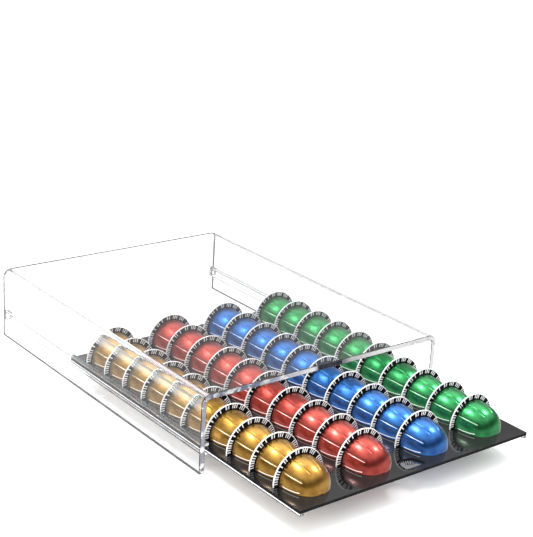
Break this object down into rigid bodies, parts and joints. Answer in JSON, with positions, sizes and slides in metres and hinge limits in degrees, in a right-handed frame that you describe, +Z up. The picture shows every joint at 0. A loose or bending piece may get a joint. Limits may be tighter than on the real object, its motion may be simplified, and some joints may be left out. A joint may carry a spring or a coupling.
{
  "type": "coffee pod drawer",
  "caption": "Clear acrylic cover with a black pull-out tray that holds coffee pods on their sides in rows, with a half-moon finger hole.",
  "frame": {"origin": "on the counter under the middle of the drawer's whole box, with the tray partly out as in the picture", "axes": "+X to the right, +Y to the back, +Z up; the tray opens toward -Y"},
  "size_m": [0.312, 0.558, 0.084],
  "materials": {
    "clear_acrylic": "clear, polished edges",
    "black_acrylic": "high gloss",
    "gold_foil": "anodised satin",
    "red_foil": "anodised satin",
    "blue_foil": "anodised satin",
    "green_foil": "anodised satin",
    "lid_foil": "bright foil"
  },
  "bodies": {
    "housing": {"cover": "clear_acrylic", "rail_lower_left": "clear_acrylic", "rail_lower_right": "clear_acrylic", "rail_upper_left": "clear_acrylic", "rail_upper_right": "clear_acrylic", "rail_stop_left": "clear_acrylic", "rail_stop_right": "clear_acrylic"},
    "drawer": {"tray": "black_acrylic", "tray_runner_left": "clear_acrylic", "tray_runner_right": "clear_acrylic", "gold_pod_02": "gold_foil", "gold_pod_03": "gold_foil", "gold_pod_04": "gold_foil", "gold_pod_05": "gold_foil", "gold_pod_06": "gold_foil", "gold_pod_07": "gold_foil", "gold_pod_08": "gold_foil", "gold_pod_09": "gold_foil", "gold_pod_10": "gold_foil", "red_pod_02": "red_foil", "red_pod_03": "red_foil", "red_pod_04": "red_foil", "red_pod_05": "red_foil", "red_pod_06": "red_foil", "red_pod_07": "red_foil", "red_pod_08": "red_foil", "red_pod_09": "red_foil", "red_pod_10": "red_foil", "blue_pod_02": "blue_foil", "blue_pod_03": "blue_foil", "blue_pod_04": "blue_foil", "blue_pod_05": "blue_foil", "blue_pod_06": "blue_foil", "blue_pod_07": "blue_foil", "blue_pod_08": "blue_foil", "blue_pod_09": "blue_foil", "blue_pod_10": "blue_foil", "green_pod_02": "green_foil", "green_pod_03": "green_foil", "green_pod_04": "green_foil", "green_pod_05": "green_foil", "green_pod_06": "green_foil", "green_pod_07": "green_foil", "green_pod_08": "green_foil", "green_pod_09": "green_foil", "green_pod_10": "green_foil", "gold_pod_lids": "lid_foil", "red_pod_lids": "lid_foil", "blue_pod_lids": "lid_foil", "green_pod_lids": "lid_foil"},
    "gold_pod_front": {"gold_pod_01": "gold_foil", "gold_pod_01_lid": "lid_foil"},
    "red_pod_front": {"red_pod_01": "red_foil", "red_pod_01_lid": "lid_foil"},
    "blue_pod_front": {"blue_pod_01": "blue_foil", "blue_pod_01_lid": "lid_foil"},
    "green_pod_front": {"green_pod_01": "green_foil", "green_pod_01_lid": "lid_foil"}
  },
  "joints": [
    {"name": "drawer_slide", "type": "slide", "parent": "housing", "child": "drawer", "axis": [0, -1, 0], "range_m": [-0.146, 0.139]},
    {"name": "gold_pod_lift", "type": "slide", "parent": "drawer", "child": "gold_pod_front", "axis": [0, 0, 1], "range_m": [0, 0.065]},
    {"name": "red_pod_lift", "type": "slide", "parent": "drawer", "child": "red_pod_front", "axis": [0, 0, 1], "range_m": [0, 0.065]},
    {"name": "blue_pod_lift", "type": "slide", "parent": "drawer", "child": "blue_pod_front", "axis": [0, 0, 1], "range_m": [0, 0.065]},
    {"name": "green_pod_lift", "type": "slide", "parent": "drawer", "child": "green_pod_front", "axis": [0, 0, 1], "range_m": [0, 0.065]}
  ]
}
